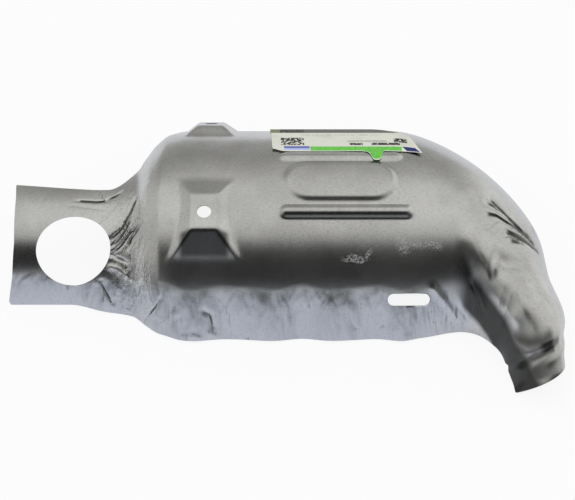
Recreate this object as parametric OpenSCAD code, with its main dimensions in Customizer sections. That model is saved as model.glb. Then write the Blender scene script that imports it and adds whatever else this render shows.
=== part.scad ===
// Exhaust heat shield: one pressed sheet, made of a half-round body, a trimmed neck with a
// round port and an elbow that ends in a small collar, with a paper label stuck on its crown.
// It lies on its long edges, crown up. Angles round the body are measured from the crown,
// minus to the front and plus to the back.

/* [Sheet] */
// Thickness of the pressed sheet
sheet_t = 1; // [0.8:0.1:1.4]

/* [Body] */
// Outer radius of the body
body_r = 104; // [98:1:112]
// Height of the crown above the surface that the shield lies on
body_h = 60; // [54:1:66]
// Straight body to the left of the bolt holes
body_left = 13.5; // [12:0.5:20]
// Straight body to the right of the bolt holes
body_right = 114.5; // [108:0.5:130]

/* [Neck] */
// Outer radius of the neck
neck_r = 68; // [64:1:74]
// Height of the neck's crown
neck_h = 40; // [36:1:44]
// Length of the neck
neck_len = 63; // [60:1:80]
// Length of the shoulder between neck and body
shoulder_len = 52; // [48:1:60]
// Distance that the neck's middle lies in front of the body's
neck_shift = 6; // [0:1:10]
// Angle past the crown at which the neck's back is trimmed
neck_trim = 7; // [6:1:20]
// Angle by which the neck's end leans back towards the body
end_lean = 4; // [0:1:8]
// Width of the nearly round port in the neck, along the neck
port_d = 48; // [36:1:50]
// Height of the port, round the neck
port_h = 45; // [34:1:48]
// Distance of the port's middle from the bolt holes
port_x = 85; // [84:1:96]
// Angle of the port's middle
port_deg = -32.5; // [-36:0.5:-28]

/* [Elbow] */
// Reach of the elbow past the straight body
elbow_reach = 90; // [84:1:98]
// Sideways reach of the elbow, to the middle of the collar
elbow_side = 124; // [118:1:130]
// Outer width of the collar
collar_w = 28; // [25:1:34]
// Height of the collar's end
collar_h = 19.5; // [17:0.5:24]
// Depth of the groove behind the collar's lip
collar_groove = 1.4; // [0.8:0.1:2.4]
// Depth of the creases that the press leaves in the elbow
crease_depth = 1.4; // [0.4:0.1:2]

/* [Bolt pads] */
// Width of a pad's flat, along the body
pad_flat_x = 17.5; // [15:0.5:20]
// Length of a pad's flat, round the body
pad_flat_s = 25; // [20:0.5:28]
// Rise of a pad's flat above the body
pad_rise = 5.2; // [4:0.1:6.5]
// Angle of the front pad's middle
front_pad_deg = -20.5; // [-23:0.5:-18]
// Angle of the top pad's middle
top_pad_deg = 38; // [36:0.5:40]
// Angle by which each pad's flat leans back towards the crown
pad_lean = 3; // [0:0.5:5]
// Diameter of the bolt holes
bolt_d = 9; // [6:0.5:11]

/* [Beads] */
// Width of the stiffening beads
bead_w = 10; // [8:0.5:11]
// Rise of the lower bead
lower_bead_rise = 2.4; // [1:0.1:3]
// Rise of the upper bead
upper_bead_rise = 1.6; // [1:0.1:3]
// Length of the lower bead
lower_bead_len = 87; // [70:1:92]
// Length of the upper bead
upper_bead_len = 82; // [70:1:88]
// Start of both beads, from the bolt holes
bead_x = 46; // [42:1:50]
// Angle of the lower bead
lower_bead_deg = -19; // [-20:0.5:-18]
// Angle of the upper bead
upper_bead_deg = 7.5; // [7:0.5:8.5]

/* [Oval panel] */
// Length of the raised oval panel
oval_len = 75; // [60:1:80]
// Width of the oval panel, round the body
oval_w = 34.5; // [28:0.5:36]
// Rise of the oval panel
oval_rise = 1.2; // [0.6:0.1:1.6]
// Width of the sloping edge of the oval panel
oval_edge = 4.5; // [3:0.5:6]
// Angle of the oval panel's middle
oval_deg = -5.4; // [-6:0.1:-5]

/* [Skirt] */
// Angle of the fold at which the front skirt starts
skirt_deg = -46.5; // [-48:0.5:-44]
// Height of the fold above the even round
skirt_rise = 1.3; // [0.5:0.1:2]
// Length of one wave along the skirt
flute_len = 43.5; // [38:0.5:50]
// Depth of the waves at the skirt's edge
flute_depth = 1.5; // [0.2:0.1:2]
// Length of the slot in the skirt
slot_len = 26.5; // [20:0.5:30]
// Width of the slot
slot_w = 7.6; // [6:0.2:9]
// Distance of the slot's middle from the bolt holes
slot_x = 128.5; // [125:0.5:132]
// Angle of the slot
slot_deg = -50.5; // [-52:0.5:-49]

/* [Label] */
// Length of the paper label
label_len = 99; // [80:1:101]
// Width of the label, round the body
label_w = 56; // [40:1:58]
// Angle of the label's lower edge
label_deg = 10.5; // [9.5:0.5:14]
// Start of the label, from the bolt holes
label_x = 41.5; // [38:0.5:46]
// Distance by which the label's right edge leans back
label_lean = 6.5; // [0:0.5:10]
// Width of the cut at the label's back right corner
label_cut = 15; // [4:1:20]
// Thickness of the label
label_t = 0.3; // [0.2:0.05:0.5]

/* [Hidden] */
$fn = 96;

// Names of a station's values: the front and back edge, the dive, the height and the share of
// the back half that is kept
FX = 0; FY = 1; BX = 2; BY = 3; DIVE = 4; HIGH = 5; BACK = 6;

function half_width(r, h) = sqrt(r * r - (r - h) * (r - h));
function between(a, b, share) = a + (b - a) * share;
function clamped(q) = max(0, min(1, q));
function ease(q) = let (k = clamped(q)) k * k * (3 - 2 * k);
function bell(q) = abs(q) < 1 ? pow(cos(90 * q), 2) : 0;

body_half = half_width(body_r, body_h);
neck_half = half_width(neck_r, neck_h);
neck_arc = acos((neck_r - neck_h) / neck_r);
body_arc = acos((body_r - body_h) / body_r);
neck_x = -body_left - shoulder_len;

// A station of the straight part, on its middle
function straight_station(x, y, half, high, back) = [x, y - half, x, y + half, 0, high, back];
function shoulder_station(q, wide, high, back) =
    straight_station(neck_x + q * shoulder_len, -neck_shift * (1 - high), between(neck_half + 2, body_half, wide),
                     between(neck_h, body_h, high), back);

// A station of the elbow: shares of its reach, and of the way from the body's edges to its side reach
function elbow_station(front_out, front_side, back_out, back_side, dive, high) =
    [body_right + front_out * elbow_reach, -between(body_half, elbow_side, front_side),
     body_right + back_out * elbow_reach, -between(-body_half, elbow_side, back_side),
     dive, between(collar_h, body_h, high), 1];
collar_side = [sin(32), cos(32)] * collar_w / 2;
collar_mid = [body_right + 0.94 * elbow_reach, -elbow_side];

// Sections from the neck's end to the collar's end
stations = [
    straight_station(neck_x - neck_len, -neck_shift, neck_half - 4, neck_h, (neck_trim + 6) / neck_arc),
    straight_station(neck_x - 0.35 * neck_len, -neck_shift, neck_half - 4, neck_h, (neck_trim + 1.5) / neck_arc),
    straight_station(neck_x, -neck_shift, neck_half + 2, neck_h, neck_trim / neck_arc),
    shoulder_station(0.36, 0.18, 0.22, 0.3),
    shoulder_station(0.55, 0.56, 0.69, 1),
    shoulder_station(0.72, 0.85, 0.93, 1),
    straight_station(-body_left, 0, body_half, body_h, 1),
    straight_station(body_right + 9, 0, body_half, body_h, 1),
    elbow_station(0.554, -0.222, 0.773, 0.209, 0, 0.877),
    elbow_station(0.747, 0.149, 1.165, 0.536, 0, 0.615),
    elbow_station(0.795, 0.407, 1.19, 0.697, 1.4, 0.479),
    elbow_station(0.821, 0.799, 1.191, 0.808, 23.5, 0.294),
    concat(collar_mid - collar_side, collar_mid + collar_side, [48, collar_h, 1])
];
last = len(stations) - 1;

// Distance along the spine at each station; on the straight parts it is x itself
straight = 7;
function spine(k) = [stations[k][FX] + stations[k][BX], stations[k][FY] + stations[k][BY]] / 2;
function hop(k) = norm(concat(spine(k) - spine(k - 1), [0.75 * stations[k][HIGH] * sin(stations[k][DIVE])]));
function run(k) = k <= straight ? spine(k)[0] : run(k - 1) + hop(k);
along = [for (k = [0:last]) run(k)];
elbow_t = along[straight];
collar_t = along[last];

// A smooth curve through the stations: on the straight parts it never overshoots them
function rate(k, c) = (stations[k + 1][c] - stations[k][c]) / (along[k + 1] - along[k]);
function slope(k, c) =
    k == 0 ? rate(0, c) :
    k == last ? rate(last - 1, c) :
    let (a = rate(k - 1, c), b = rate(k, c), ha = along[k] - along[k - 1], hb = along[k + 1] - along[k])
    k > straight ? (a * hb + b * ha) / (ha + hb) :
    a * b > 0 ? 2 * a * b / (a + b) : 0;
slopes = [for (k = [0:last]) [for (c = [FX:BACK]) slope(k, c)]];
function span_at(t, k = 0) = k < last - 1 && t >= along[k + 1] ? span_at(t, k + 1) : k;
function station(t) =
    let (k = span_at(t), h = along[k + 1] - along[k], q = (t - along[k]) / h,
         q2 = q * q, q3 = q2 * q)
    (2 * q3 - 3 * q2 + 1) * stations[k] + (q3 - 2 * q2 + q) * h * slopes[k]
    + (3 * q2 - 2 * q3) * stations[k + 1] + (q3 - q2) * h * slopes[k + 1];

// Raised bead with round ends, on the body at angle deg
function bead(t, arc, deg, length, rise) =
    let (off = max(bead_x + bead_w / 2 - t, t - bead_x - length + bead_w / 2, 0),
         q = norm([off, arc - deg * body_r * PI / 180]) / (bead_w / 2))
    q < 1 ? rise * (1 - q * q) : 0;

// Raised flat panel with half-round ends and a sloping edge
oval_x = bead_x + upper_bead_len / 2;
function oval(t, arc) =
    let (off = max(abs(t - oval_x) - (oval_len - oval_w) / 2, 0),
         inside = oval_w / 2 - norm([off, arc - oval_deg * body_r * PI / 180]))
    oval_rise * ease(inside / oval_edge);

// The front skirt: hollow between the fold and the edge, with waves that grow towards the edge
wave_x = 16;
skirt_from = -body_left - 0.6 * shoulder_len;
skirt_to = elbow_t + 26;
function wave(t) = cos(360 * (t - wave_x) / flute_len);
function skirt(t, deg, foot) =
    let (fold = skirt_deg + 0.6 * wave(t), q = (fold - deg) / (fold + foot),
         on = ease((t - skirt_from) / 20) * ease((skirt_to - t) / 30))
    q <= 0 ? 0 : -on * (skirt_rise * 4 * q * (1 - q) + flute_depth * ease(q) * wave(t));

// Creases of the elbow, each along a line of shares of its length and turns of its section
elbow_len = collar_t - elbow_t;
turn_scale = 60;
function marked(list) = [for (m = list) [elbow_t + m[0] * elbow_len, turn_scale * m[1]]];
inner_crease = marked([[0.366, 0.067], [0.423, 0.07], [0.476, 0.084], [0.536, 0.133], [0.598, 0.247]]);
outer_crease = marked([[0.469, -0.087], [0.522, 0], [0.572, 0.096], [0.614, 0.196], [0.655, 0.371]]);
front_ridge = marked([[0.266, -0.182], [0.287, -0.325], [0.312, -0.382], [0.339, -0.425], [0.374, -0.451],
                      [0.426, -0.505], [0.553, -0.482], [0.706, -0.405]]);
dome_valley = marked([[0.462, -0.41], [0.505, -0.35], [0.587, -0.219], [0.677, -0.067], [0.723, -0.004],
                      [0.8, -0.03]]);
dome_top = marked([[0.735, -0.3]])[0];
function gap(p, a, b) = let (ab = b - a) norm(p - a - clamped((p - a) * ab / (ab * ab)) * ab);
// Share of a crease's depth at a distance from it, in widths: a sharp line or a soft one
function sharp(q) = pow(1 - q, 2);
function soft(q) = bell(q);
function crease(p, line, wide, deep, shape = function(q) sharp(q)) =
    let (d = min([for (k = [1:len(line) - 1]) gap(p, line[k - 1], line[k])]))
    d >= wide ? 0 :
    deep * shape(d / wide) * ease(norm(p - line[0]) / wide) * ease(norm(p - line[len(line) - 1]) / wide);
function elbow_relief(t, turn) =
    let (p = [t, turn_scale * turn])
    crease(p, inner_crease, 6, -crease_depth) + crease(p, outer_crease, 6, -crease_depth)
    + crease(p, front_ridge, 15, 1.3 * crease_depth)
    + crease(p, dome_valley, 9, -0.8 * crease_depth, function(q) soft(q))
    + crease_depth * bell(norm(p - dome_top) / 20);

// The collar's groove runs askew round it, and the lip flares past it
function collar(t, turn) =
    -collar_groove * bell((t - collar_t + 16.5 + 13 * turn * turn) / 6) + 1.2 * ease((t - collar_t + 9) / 9);

// The seat of a bolt pad: the plane of its flat leans back towards the crown
function leaned(mid) = mid - sign(mid) * pad_lean;
function seat_normal(mid) = [0, sin(leaned(mid)), cos(leaned(mid))];
function seat_run(mid) = [0, cos(leaned(mid)), -sin(leaned(mid))];
body_axis = [0, 0, body_h - body_r];
seat_high = body_r * cos(pad_lean) + pad_rise;
function seat_off(mid) = sign(mid) * body_r * sin(pad_lean);
function seat_middle(mid) = body_axis + seat_high * seat_normal(mid) + seat_off(mid) * seat_run(mid);

// Lift of a point of the body onto the pad's flat or its sloping sides
side_fall = 0.8;
end_fall = 0.64;
front_crown_fall = 0.5;
function pad_lift(t, deg, mid) =
    let (a = deg - leaned(mid), high = body_r * cos(a), b = body_r * sin(a) - seat_off(mid),
         fall = mid < 0 && b > 0 ? front_crown_fall : end_fall,
         top = seat_high - max(side_fall * (abs(t) - pad_flat_x / 2), fall * (abs(b) - pad_flat_s / 2), 0))
    high > 0 && abs(b) < 2 * pad_flat_s ? max(0, top - high) : 0;
function on_flat(t, p, mid) =
    abs(t) <= pad_flat_x / 2 + 0.01
    && abs((p - body_axis) * seat_run(mid) - seat_off(mid)) <= pad_flat_s / 2 + 0.01
    && (p - body_axis) * seat_normal(mid) > 0;

// Outer point of the sheet at a station; turn runs from -1 at the front edge to 1 at the back
function outer(s, t, turn) =
    let (front = [s[FX], s[FY], 0], back = [s[BX], s[BY], 0], half = norm(back - front) / 2,
         side = (back - front) / (2 * half), ahead = [side[1], -side[0], 0],
         high = s[HIGH] / cos(s[DIVE]), foot = min(90, 2 * atan2(high, half)), deg = turn * foot,
         lat = half * sin(deg) / sin(foot), up = high * (cos(deg) - cos(foot)) / (1 - cos(foot)),
         run_l = half * cos(deg) / sin(foot), run_u = -high * sin(deg) / (1 - cos(foot)),
         rise = [0, 0, cos(s[DIVE])] + sin(s[DIVE]) * ahead,
         lean = up * tan(end_lean) * ease((neck_x - t) / neck_len),
         base = (front + back) / 2 + [lean, 0, 0] + lat * side + up * rise,
         out = (run_l * rise - run_u * side) / norm([run_l, run_u]),
         arc = deg * PI / 180 * body_r,
         relief = bead(t, arc, lower_bead_deg, lower_bead_len, lower_bead_rise)
             + bead(t, arc, upper_bead_deg, upper_bead_len, upper_bead_rise)
             + oval(t, arc) + skirt(t, deg, foot)
             + (t > elbow_t + 0.2 * elbow_len ? elbow_relief(t, turn) + collar(t, turn) : 0))
    base + relief * out
    + (abs(t) < 2 * pad_flat_x && t < oval_x - oval_len / 2
        ? pad_lift(t, deg, front_pad_deg) * seat_normal(front_pad_deg)
          + pad_lift(t, deg, top_pad_deg) * seat_normal(top_pad_deg)
        : [0, 0, 0]);

// Turn of a grid line: the back half closes up where the neck is trimmed
function trimmed(s, turn) = turn < 0 ? turn : turn * s[BACK];

// Unit vector that points out of the sheet
step_t = 0.4;
step_turn = 0.004;
function facing(t, turn, before, here, after, p) =
    on_flat(t, p, front_pad_deg) ? seat_normal(front_pad_deg) :
    on_flat(t, p, top_pad_deg) ? seat_normal(top_pad_deg) :
    let (u = trimmed(here, turn), n = cross(outer(after, t + step_t, u) - outer(before, t - step_t, u),
                    outer(here, t, u + step_turn) - outer(here, t, u - step_turn)))
    n / norm(n);

// Rising list without near doubles, and the same list filled up to a largest step
function sorted(list) =
    len(list) <= 1 ? list :
    let (pivot = list[floor(len(list) / 2)])
    concat(sorted([for (q = list) if (q < pivot) q]), [pivot], sorted([for (q = list) if (q > pivot) q]));
function thinned(list, least, k = 0, kept = []) =
    k == len(list) ? kept :
    thinned(list, least, k + 1,
            k > 0 && k < len(list) - 1
            && (list[k] - kept[len(kept) - 1] < least || list[len(list) - 1] - list[k] < least)
            ? kept : concat(kept, [list[k]]));
function filled(list, most) =
    concat([for (k = [0:len(list) - 2])
                let (n = ceil((list[k + 1] - list[k]) / most - 0.001))
                for (i = [0:n - 1]) between(list[k], list[k + 1], i / n)],
           [list[len(list) - 1]]);

// Grid lines round the section, in degrees on the body, set on the edges of what is pressed in
function deg_of(arc) = arc / body_r * 180 / PI;
function flat_edge(mid, way) =
    leaned(mid) + asin((seat_off(mid) + way * pad_flat_s / 2) / body_r);
pad_foot = 13.5;
function pad_edge(mid, way) =
    leaned(mid) + asin((seat_off(mid) + way * (pad_flat_s / 2 + pad_foot)) / body_r);
round_keys = sorted(concat(
    [-body_arc, body_arc, skirt_deg - 2.5, skirt_deg + 1.2, -0.5],
    [for (mid = [front_pad_deg, top_pad_deg], way = [-1, 1]) flat_edge(mid, way)],
    [for (mid = [front_pad_deg, top_pad_deg], way = [-1, 1]) pad_edge(mid, way)],
    [for (deg = [lower_bead_deg, upper_bead_deg], w = [-0.5, -0.28, 0, 0.28, 0.5])
        deg + deg_of(w * bead_w)],
    [for (way = [-1, 1], w = [0, oval_edge]) oval_deg + way * deg_of(oval_w / 2 - w)]));
turns = [for (deg = filled(thinned(round_keys, 1), 6)) deg / body_arc];

// Grid lines along the spine
body_keys = sorted(concat(
    [neck_x, neck_x + 0.18 * shoulder_len, along[3], (along[3] + along[4]) / 2, along[4],
     (along[4] + along[5]) / 2, along[5], -pad_flat_x / 2 - 6, -pad_flat_x / 2 - 11,
     -pad_flat_x / 2, pad_flat_x / 2, pad_flat_x / 2 + 6, pad_flat_x / 2 + 11],
    [for (way = [-1, 1], w = [0, 0.5, 1.1, 2.2]) oval_x + way * (oval_len / 2 - w * oval_edge)],
    [bead_x, bead_x + 0.25 * bead_w, bead_x + upper_bead_len, bead_x + upper_bead_len - 0.25 * bead_w,
     bead_x + lower_bead_len, bead_x + lower_bead_len - 0.25 * bead_w]));
lengths = concat(
    [for (t = filled([neck_x - neck_len, neck_x], 9)) if (t < neck_x - 1) t],
    filled(thinned(body_keys, 1.6), 9.4),
    [for (t = filled([bead_x + lower_bead_len, elbow_t + 0.22 * elbow_len], 7))
        if (t > bead_x + lower_bead_len + 1) t],
    [for (t = filled([elbow_t + 0.22 * elbow_len, collar_t], 5)) if (t > elbow_t + 0.22 * elbow_len + 1) t]);

// Solid between the faces "low" and "high" above the sheet's outer face, on given grid lines
module skin(ts, us, low, high) {
    n_t = len(ts);
    n_u = len(us);
    sheet = [for (t = ts)
        let (before = station(t - step_t), here = station(t), after = station(t + step_t))
        for (u = us)
            let (p = outer(here, t, trimmed(here, u)),
                 n = facing(t, u, before, here, after, p))
            [p + high * n, p + low * n]];
    points = concat([for (s = sheet) s[0]], [for (s = sheet) s[1]]);
    under = n_t * n_u;
    // The diagonal of each cell follows the side that stands out
    function bulges(a, b, c, d) =
        let (n = cross(points[c] - points[a], points[d] - points[b]))
        (points[a] + points[c] - points[b] - points[d]) * n > 0;
    cells = [for (i = [0:n_t - 2], j = [0:n_u - 2])
        let (a = i * n_u + j, b = a + n_u, c = b + 1, d = a + 1)
        each bulges(a, b, c, d) ? [[a, c, b], [a, d, c]] : [[a, d, b], [b, d, c]]];
    rim = concat(
        [for (i = [0:n_t - 2]) [i * n_u, (i + 1) * n_u]],
        [for (j = [0:n_u - 2]) [(n_t - 1) * n_u + j, (n_t - 1) * n_u + j + 1]],
        [for (i = [n_t - 1:-1:1]) [i * n_u + n_u - 1, (i - 1) * n_u + n_u - 1]],
        [for (j = [n_u - 1:-1:1]) [j, j - 1]]);
    polyhedron(points, concat(
        cells,
        [for (f = cells) [f[0] + under, f[2] + under, f[1] + under]],
        [for (e = rim) each [[e[0], e[1], e[1] + under], [e[0], e[1] + under, e[0] + under]]]),
        convexity = 12);
}

// A drill along the outward direction at an angle round the body or neck
module drill(x, y, z, deg, d, reach = 12) {
    translate([x, y, z]) rotate([-deg, 0, 0]) translate([0, 0, -reach]) cylinder(d = d, h = 2 * reach);
}

origin = seat_middle(front_pad_deg);

module shield() {
    color("#b3b4b3") translate(-origin) difference() {
        skin(lengths, turns, -sheet_t, 0);
        for (mid = [front_pad_deg, top_pad_deg]) {
            m = seat_middle(mid);
            drill(0, m[1], m[2], leaned(mid), bolt_d, 5);
        }
        // The port is cut square to the neck's side
        translate([-port_x, -neck_shift + neck_r * sin(port_deg), neck_h - neck_r + neck_r * cos(port_deg)])
            rotate([-port_deg, 0, 0]) scale([1, port_h / port_d, 1])
                cylinder(d = port_d, h = 0.6 * port_d, center = true);
        for (way = [-1, 1])
            drill(slot_x + way * (slot_len - slot_w) / 2, body_r * sin(slot_deg),
                  body_h - body_r + body_r * cos(slot_deg), slot_deg, slot_w, 6);
        // The straight sides lie a hair inside the round ends, so that they cross and don't just touch
        translate([slot_x, body_r * sin(slot_deg), body_h - body_r + body_r * cos(slot_deg)])
            rotate([-slot_deg, 0, 0]) cube([slot_len - slot_w, slot_w - 0.04, 12], center = true);
    }
}

// The label lies just clear of the steel, and its tab hangs over the upper bead
label_gap = 0.3;
tab_x = label_x + 68.5;
tab_w = 11;
tab_deg = 5;

// What lies to the right of the way from a to b, seen from above
module beyond(a, b) {
    translate([a[0], a[1], 0]) rotate(atan2(b[1] - a[1], b[0] - a[0]))
        translate([-20, -40, 0]) cube([norm(b - a) + 40, 40, 2 * body_h]);
}

module label() {
    label_top = label_deg + deg_of(label_w);
    ts = concat([label_x], [for (t = lengths) if (t > label_x + 1 && t < label_x + label_len - 1) t],
                [label_x + label_len]);
    us = concat([label_deg / body_arc],
                [for (u = turns) if (u * body_arc > label_deg + 0.5 && u * body_arc < label_top - 0.5) u],
                [label_top / body_arc]);
    tab_us = concat([tab_deg / body_arc],
                    [for (u = turns) if (u * body_arc > tab_deg + 0.3 && u * body_arc < label_deg - 1) u],
                    [(label_deg + 1.5) / body_arc]);
    low = [label_x + label_len, body_r * sin(label_deg)];
    bend = [low[0] - label_lean, body_r * sin(label_deg + 16)];
    color("#eef0ea") translate(-origin) difference() {
        union() {
            skin(ts, us, label_gap, label_gap + label_t);
            // The tab is a hair thinner, so that it lies inside the label where they overlap
            skin([tab_x - tab_w / 2, tab_x, tab_x + tab_w / 2], tab_us,
                 label_gap + 0.15 * label_t, label_gap + 0.75 * label_t);
        }
        beyond(low, bend);
        beyond(bend, bend + label_cut * [-1, 0.87]);
    }
}

shield();
label();
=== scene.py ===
import math
import bpy
import numpy as np
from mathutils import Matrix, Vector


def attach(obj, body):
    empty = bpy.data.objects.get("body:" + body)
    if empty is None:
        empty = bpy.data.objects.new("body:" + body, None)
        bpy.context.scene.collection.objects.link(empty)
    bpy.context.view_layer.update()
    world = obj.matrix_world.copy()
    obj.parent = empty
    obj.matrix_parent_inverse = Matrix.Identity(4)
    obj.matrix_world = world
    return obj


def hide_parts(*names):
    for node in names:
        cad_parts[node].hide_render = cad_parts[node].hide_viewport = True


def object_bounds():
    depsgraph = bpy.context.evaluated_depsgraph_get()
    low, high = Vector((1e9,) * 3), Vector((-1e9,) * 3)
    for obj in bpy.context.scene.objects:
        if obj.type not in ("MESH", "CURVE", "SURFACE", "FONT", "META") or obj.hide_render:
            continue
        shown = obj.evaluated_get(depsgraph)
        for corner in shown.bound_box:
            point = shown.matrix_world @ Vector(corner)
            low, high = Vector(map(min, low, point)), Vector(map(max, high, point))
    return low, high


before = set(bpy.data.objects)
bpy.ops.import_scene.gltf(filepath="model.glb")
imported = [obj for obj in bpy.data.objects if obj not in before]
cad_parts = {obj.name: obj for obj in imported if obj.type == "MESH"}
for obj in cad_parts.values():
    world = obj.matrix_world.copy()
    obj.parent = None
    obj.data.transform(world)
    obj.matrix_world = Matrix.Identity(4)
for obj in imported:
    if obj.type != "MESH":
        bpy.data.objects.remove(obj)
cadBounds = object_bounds()
print("frame loaded")

# Lengths of the pressing are in millimetres, angles in degrees from the crown, minus to the front.
body = {"radius": 104, "height": 60, "left": 13.5, "right": 114.5}
neck = {"radius": 68, "height": 40, "length": 63, "shoulder": 52, "shift": 6, "trim": 7,
        "leanTurns": [-1, -0.97, -0.75, -0.45, 0, 0.25], "lean": [2.8, 1.6, 4.4, 5.3, 3.4, 0.9]}
port = {"width": 48, "height": 45, "x": -85, "angle": -32.5}
elbow = {"reach": 90, "side": 124, "collarWidth": 28, "collarHeight": 19.5, "groove": 1.4, "crease": 1.4}
boltPads = {"flatX": 17.5, "flatRound": 25, "rise": 5.2, "angles": (-20.5, 38), "lean": 3, "hole": 9,
            "sideFall": 0.8, "endFall": 0.64, "crownFall": 0.5, "bend": 0.9}
beads = {"width": 10, "start": 46,
         "lower": {"angle": -19, "length": 87, "rise": 2.4}, "upper": {"angle": 7.5, "length": 82, "rise": 1.6}}
ovalPanel = {"length": 77, "width": 36.5, "rise": 1.7, "edge": 5.5, "angle": -5.4}
skirt = {"angle": -46.1, "rise": 0.35, "waveLength": 43.5, "waveDepth": 1.5, "waveStart": 16, "foldWave": 0.9,
         "smallLength": 26.7, "smallDepth": 0.35}
slot = {"length": 26.5, "width": 7.6, "x": 128.5, "angle": -50.5}
blank = {"thickness": 1.0, "bevel": 0.16}


def between(a, b, share):
    return a + (b - a) * share


def ease(q):
    q = np.clip(q, 0, 1)
    return q * q * (3 - 2 * q)


def bell(q):
    return np.where(np.abs(q) < 1, np.cos(np.pi / 2 * q) ** 2, 0)


def softMax(a, b, reach):
    return np.maximum(a, b) + np.maximum(reach - np.abs(a - b), 0) ** 2 / (4 * reach)


def halfWidth(radius, height):
    return math.sqrt(radius ** 2 - (radius - height) ** 2)


# Sections along the spine: x and y of the front edge, x and y of the back edge, dive, height, share of the
# back half that is kept
bodyHalf = halfWidth(body["radius"], body["height"])
neckHalf = halfWidth(neck["radius"], neck["height"])
neckArc = math.degrees(math.acos(1 - neck["height"] / neck["radius"]))
bodyArc = math.degrees(math.acos(1 - body["height"] / body["radius"]))
neckX = -body["left"] - neck["shoulder"]


def straightSection(x, y, half, high, back):
    return (x, y - half, x, y + half, 0, high, back)


def shoulderSection(q, wide, high, back):
    return straightSection(neckX + q * neck["shoulder"], -neck["shift"] * (1 - high),
                           between(neckHalf + 2, bodyHalf, wide), between(neck["height"], body["height"], high), back)


def elbowSection(frontOut, frontSide, backOut, backSide, dive, high):
    return (body["right"] + frontOut * elbow["reach"], -between(bodyHalf, elbow["side"], frontSide),
            body["right"] + backOut * elbow["reach"], -between(-bodyHalf, elbow["side"], backSide),
            dive, between(elbow["collarHeight"], body["height"], high), 1)


collarSide = np.array([math.sin(math.radians(32)), math.cos(math.radians(32))]) * elbow["collarWidth"] / 2
collarMiddle = np.array([body["right"] + 0.94 * elbow["reach"], -elbow["side"]])
sections = np.array([
    straightSection(neckX - neck["length"], -neck["shift"], neckHalf - 4, neck["height"], (neck["trim"] + 6) / neckArc),
    straightSection(neckX - 0.35 * neck["length"], -neck["shift"], neckHalf - 4, neck["height"],
                    (neck["trim"] + 1.5) / neckArc),
    straightSection(neckX, -neck["shift"], neckHalf + 2, neck["height"], neck["trim"] / neckArc),
    shoulderSection(0.36, 0.18, 0.22, 0.3),
    shoulderSection(0.55, 0.56, 0.69, 1),
    shoulderSection(0.72, 0.85, 0.93, 1),
    straightSection(-body["left"], 0, bodyHalf, body["height"], 1),
    straightSection(body["right"] + 9, 0, bodyHalf, body["height"], 1),
    elbowSection(0.554, -0.222, 0.773, 0.209, 0, 0.877),
    elbowSection(0.747, 0.149, 1.165, 0.536, 0, 0.615),
    elbowSection(0.795, 0.407, 1.19, 0.697, 1.4, 0.479),
    elbowSection(0.821, 0.799, 1.191, 0.808, 23.5, 0.294),
    (*(collarMiddle - collarSide), *(collarMiddle + collarSide), 48, elbow["collarHeight"], 1)])
straightLast = 7
spine = (sections[:, :2] + sections[:, 2:4]) / 2
along = list(spine[:straightLast + 1, 0])
for k in range(straightLast + 1, len(sections)):
    hop = [*(spine[k] - spine[k - 1]), sections[k, 5] * math.sin(math.radians(sections[k, 4])) * 0.75]
    along.append(along[-1] + math.sqrt(sum(h * h for h in hop)))
along = np.array(along)
elbowStart, collarEnd = along[straightLast], along[-1]
elbowLength = collarEnd - elbowStart


def sectionAt(t):
    steps = np.diff(along)[:, None]
    rates = np.diff(sections, axis=0) / steps
    slopes = np.zeros_like(sections)
    a, b = rates[:-1], rates[1:]
    same = a * b > 0
    slopes[1:-1][same] = 2 * a[same] * b[same] / (a + b)[same]
    bend = slice(straightLast + 1, len(sections) - 1)
    slopes[bend] = ((a * steps[1:] + b * steps[:-1]) / (steps[1:] + steps[:-1]))[straightLast:]
    slopes[0], slopes[-1] = rates[0], rates[-1]
    k = np.clip(np.searchsorted(along, t, side="right") - 1, 0, len(along) - 2)
    h = (along[k + 1] - along[k])[:, None]
    q = ((t - along[k])[:, None]) / h
    return ((2 * q ** 3 - 3 * q ** 2 + 1) * sections[k] + (q ** 3 - 2 * q ** 2 + q) * h * slopes[k]
            + (3 * q ** 2 - 2 * q ** 3) * sections[k + 1] + (q ** 3 - q ** 2) * h * slopes[k + 1])


def arcLength(angle):
    return np.radians(angle) * body["radius"]


def beadRelief(t, arc, one):
    half = beads["width"] / 2
    off = np.maximum(np.maximum(beads["start"] + half - t, t - beads["start"] - one["length"] + half), 0)
    q = np.hypot(off, arc - arcLength(one["angle"])) / half
    return one["rise"] * np.clip(1 - (q / 1.03) ** 2, 0, None) ** 1.1


ovalX = beads["start"] + beads["upper"]["length"] / 2 - 1


def ovalRelief(t, arc):
    off = np.maximum(np.abs(t - ovalX) - (ovalPanel["length"] - ovalPanel["width"]) / 2, 0)
    inside = ovalPanel["width"] / 2 - np.hypot(off, arc - arcLength(ovalPanel["angle"]))
    return ovalPanel["rise"] * ease(inside / ovalPanel["edge"])


def skirtRelief(t, angle, foot):
    wave = np.cos(2 * np.pi * (t - skirt["waveStart"]) / skirt["waveLength"])
    small = np.cos(2 * np.pi * (t - 5) / skirt["smallLength"])
    fold = skirt["angle"] + skirt["foldWave"] * wave + 0.4 * small
    q = (fold - angle) / (fold + foot)
    on = ease((t + body["left"] + 0.6 * neck["shoulder"]) / 20) * ease((elbowStart + 26 - t) / 30)
    press = skirt["rise"] * 4 * q * (1 - q) + ease(q) * (skirt["waveDepth"] * wave + skirt["smallDepth"] * small)
    return np.where(q > 0, -on * press, 0)


turnScale = 60


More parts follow.
